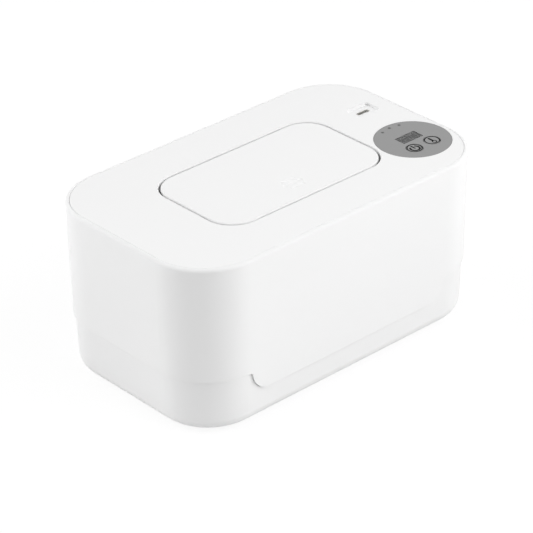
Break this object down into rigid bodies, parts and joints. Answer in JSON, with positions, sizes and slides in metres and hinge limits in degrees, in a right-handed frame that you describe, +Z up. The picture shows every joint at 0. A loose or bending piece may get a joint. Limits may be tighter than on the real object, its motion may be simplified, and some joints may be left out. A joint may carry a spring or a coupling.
{
  "type": "baby wipe warmer",
  "caption": "Rounded box wipe warmer: hood that lifts off a base tray, push-latched hinged flap over the dispensing opening, round control panel with display and keys, USB-C inlet.",
  "frame": {"origin": "centre of the footprint, on the plane that the feet stand on", "axes": "+X to the right along the length, control panel side; +Y to the back; +Z up"},
  "size_m": [0.21, 0.126, 0.0998],
  "materials": {
    "shell_plastic": "moulded ABS, fine satin texture, white",
    "base_plastic": "moulded ABS, fine satin texture, white",
    "liner_plastic": "smooth moulded polypropylene, pale grey",
    "panel_plastic": "satin moulded ABS, mid grey",
    "window_plastic": "smoked acrylic, polished",
    "light_pipe": "smoked polycarbonate, polished",
    "led_lens": "clear epoxy over phosphor",
    "latch_plastic": "moulded acetal, pale grey",
    "black_plastic": "moulded, black",
    "socket_plastic": "moulded high-temperature plastic, pale grey",
    "silicone": "moulded silicone, translucent grey",
    "foot_rubber": "moulded rubber, dark",
    "foam": "closed-cell foam, off-white",
    "heater_film": "polyimide film with an etched track, amber",
    "circuit_board": "solder mask, green",
    "lead_insulation": "silicone-insulated wire, red",
    "screw_steel": "zinc plated",
    "plated_steel": "nickel plated"
  },
  "bodies": {
    "base": {"base_tray": "base_plastic", "rubber_feet": "foot_rubber"},
    "hood": {"hood_shell": "shell_plastic", "top_cover": "shell_plastic", "inner_liner": "liner_plastic", "heater_film": "heater_film", "insulation_foam": "foam", "liner_gasket": "silicone", "assembly_screws": "screw_steel", "control_board": "circuit_board", "board_components": "black_plastic", "board_screws": "screw_steel", "led_display": "black_plastic", "indicator_leds": "led_lens", "light_pipes": "light_pipe", "switch_housings": "black_plastic", "usb_c_shell": "plated_steel", "usb_c_tongue": "socket_plastic", "panel_disc": "panel_plastic", "display_window": "window_plastic", "push_latch_case": "latch_plastic", "hinge_pin": "screw_steel", "thermistor": "black_plastic", "thermal_fuse": "plated_steel", "heater_leads": "lead_insulation"},
    "power_button": {"power_key": "panel_plastic", "power_switch_stem": "black_plastic"},
    "temperature_button": {"temperature_key": "panel_plastic", "temperature_switch_stem": "black_plastic"},
    "latch_plunger": {"push_latch_plunger": "latch_plastic"},
    "flap": {"flap": "shell_plastic", "flap_seal": "silicone"}
  },
  "joints": [
    {"name": "hood_lift", "type": "slide", "parent": "base", "child": "hood", "axis": [0, 0, 1], "range_m": [0, 0.08]},
    {"name": "flap_hinge", "type": "hinge", "parent": "hood", "child": "flap", "pos_m": [0, 0.0388, 0.095], "axis": [-1, 0, 0], "range_deg": [0, 105]},
    {"name": "power_press", "type": "slide", "parent": "hood", "child": "power_button", "axis": [0, 0, -1], "range_m": [0, 0.0005], "stiffness_N_per_m": 1500},
    {"name": "temperature_press", "type": "slide", "parent": "hood", "child": "temperature_button", "axis": [0, 0, -1], "range_m": [0, 0.0005], "stiffness_N_per_m": 1500},
    {"name": "latch_slide", "type": "slide", "parent": "hood", "child": "latch_plunger", "axis": [0, 0, 1], "range_m": [0, 0.0025]}
  ],
  "couplings": [
    {"joint": "latch_slide", "follows": "flap_hinge", "m_per_rad": 0.001364}
  ]
}
